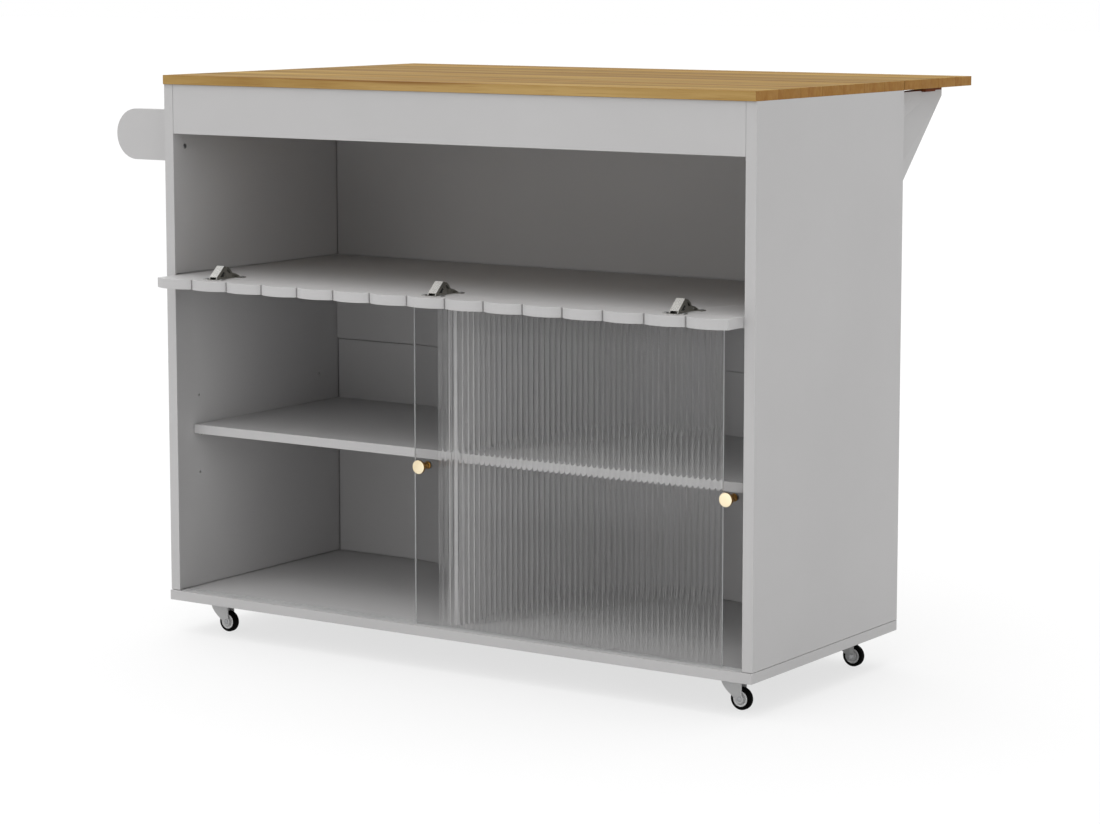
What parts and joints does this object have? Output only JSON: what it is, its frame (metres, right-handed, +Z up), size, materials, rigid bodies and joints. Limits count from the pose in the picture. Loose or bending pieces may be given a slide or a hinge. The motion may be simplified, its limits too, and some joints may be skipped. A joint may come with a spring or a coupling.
{
  "type": "rolling kitchen island",
  "caption": "Cabinet on swivel casters with a wooden worktop and drop leaf, sliding fluted glass doors, a scalloped flap, loose shelves and a towel rail.",
  "frame": {"origin": "on the floor, under the middle of the box round the whole object with its leaf raised", "axes": "+X along the front to the right, +Y from the front to the drop leaf at the back, +Z up"},
  "size_m": [1.241, 0.7484, 0.928],
  "materials": {
    "painted_board": "satin grey paint on fibreboard",
    "worktop_wood": "oiled solid wood in glued strips",
    "track_plastic": "extruded, matte grey",
    "nickel": "nickel-plated pressed steel",
    "steel": "zinc-plated steel",
    "brass": "brushed brass",
    "fluted_glass": "clear, ribbed on the front face",
    "caster_plastic": "satin grey",
    "caster_hub": "matte light grey",
    "tyre": "matte black rubber"
  },
  "bodies": {
    "cabinet": {"base_board": "painted_board", "left_side_panel": "painted_board", "right_side_panel": "painted_board", "center_divider": "painted_board", "upper_shelf": "painted_board", "front_fascia": "painted_board", "rear_top_stretcher": "painted_board", "back_rail": "painted_board", "upper_back_panel": "painted_board", "lower_back_panel": "painted_board", "left_shelf": "painted_board", "right_shelf": "painted_board", "shelf_pins": "nickel", "worktop": "worktop_wood", "lower_door_track": "track_plastic", "upper_door_track": "track_plastic", "towel_cheek_front": "painted_board", "towel_cheek_rear": "painted_board", "towel_rod": "nickel", "towel_cheek_screws": "steel", "cabinet_screws": "steel", "flap_hinge_arms": "nickel", "flap_hinge_pins": "steel", "leaf_hinge_fixed_plates": "nickel", "bracket_hinge_fixed_plates": "nickel", "rear_hinge_pins": "steel", "hinge_screws": "steel", "caster_plates": "nickel", "caster_screws": "steel"},
    "drop_leaf": {"drop_leaf": "worktop_wood", "leaf_hinge_moving_plates": "nickel", "bracket_stops": "worktop_wood"},
    "left_bracket": {"left_bracket": "painted_board", "left_bracket_hinge_plates": "nickel"},
    "right_bracket": {"right_bracket": "painted_board", "right_bracket_hinge_plates": "nickel"},
    "flap": {"scalloped_flap": "painted_board", "flap_hinge_cups": "nickel"},
    "left_door": {"left_door_glass": "fluted_glass", "left_door_knob": "brass", "left_knob_screw": "steel"},
    "right_door": {"right_door_glass": "fluted_glass", "right_door_knob": "brass", "right_knob_screw": "steel"},
    "front_left_caster": {"front_left_fork": "caster_plastic", "front_left_axle": "steel"},
    "front_left_wheel": {"front_left_hub": "caster_hub", "front_left_tyre": "tyre"},
    "front_right_caster": {"front_right_fork": "caster_plastic", "front_right_axle": "steel"},
    "front_right_wheel": {"front_right_hub": "caster_hub", "front_right_tyre": "tyre"},
    "rear_left_caster": {"rear_left_fork": "caster_plastic", "rear_left_axle": "steel"},
    "rear_left_wheel": {"rear_left_hub": "caster_hub", "rear_left_tyre": "tyre"},
    "rear_right_caster": {"rear_right_fork": "caster_plastic", "rear_right_axle": "steel"},
    "rear_right_wheel": {"rear_right_hub": "caster_hub", "rear_right_tyre": "tyre"}
  },
  "joints": [
    {"name": "leaf_hinge", "type": "hinge", "parent": "cabinet", "child": "drop_leaf", "pos_m": [0.0605, 0.14, 0.9105], "axis": [1, 0, 0], "range_deg": [0, 4]},
    {"name": "left_bracket_swing", "type": "hinge", "parent": "cabinet", "child": "left_bracket", "pos_m": [-0.4823, 0.14175, 0.825], "axis": [0, 0, -1], "range_deg": [0, 90]},
    {"name": "right_bracket_swing", "type": "hinge", "parent": "cabinet", "child": "right_bracket", "pos_m": [0.6033, 0.14175, 0.825], "axis": [0, 0, 1], "range_deg": [0, 90]},
    {"name": "flap_hinge", "type": "hinge", "parent": "cabinet", "child": "flap", "pos_m": [0.0605, -0.31825, 0.6022], "axis": [-1, 0, 0], "range_deg": [0, 90]},
    {"name": "left_door_slide", "type": "slide", "parent": "cabinet", "child": "left_door", "axis": [1, 0, 0], "range_m": [-0.4815, 0]},
    {"name": "right_door_slide", "type": "slide", "parent": "cabinet", "child": "right_door", "axis": [1, 0, 0], "range_m": [-0.009, 0]},
    {"name": "front_left_swivel", "type": "hinge", "parent": "cabinet", "child": "front_left_caster", "pos_m": [-0.4355, -0.26475, 0.051], "axis": [0, 0, 1], "continuous": true},
    {"name": "front_left_roll", "type": "hinge", "parent": "front_left_caster", "child": "front_left_wheel", "pos_m": [-0.4197, -0.26475, 0.0175], "axis": [0, 1, 0], "continuous": true},
    {"name": "front_right_swivel", "type": "hinge", "parent": "cabinet", "child": "front_right_caster", "pos_m": [0.5565, -0.26475, 0.051], "axis": [0, 0, 1], "continuous": true},
    {"name": "front_right_roll", "type": "hinge", "parent": "front_right_caster", "child": "front_right_wheel", "pos_m": [0.5723, -0.26475, 0.0175], "axis": [0, 1, 0], "continuous": true},
    {"name": "rear_left_swivel", "type": "hinge", "parent": "cabinet", "child": "rear_left_caster", "pos_m": [-0.4355, 0.08625, 0.051], "axis": [0, 0, 1], "continuous": true},
    {"name": "rear_left_roll", "type": "hinge", "parent": "rear_left_caster", "child": "rear_left_wheel", "pos_m": [-0.4197, 0.08625, 0.0175], "axis": [0, 1, 0], "continuous": true},
    {"name": "rear_right_swivel", "type": "hinge", "parent": "cabinet", "child": "rear_right_caster", "pos_m": [0.5565, 0.08625, 0.051], "axis": [0, 0, 1], "continuous": true},
    {"name": "rear_right_roll", "type": "hinge", "parent": "rear_right_caster", "child": "rear_right_wheel", "pos_m": [0.5723, 0.08625, 0.0175], "axis": [0, 1, 0], "continuous": true}
  ]
}
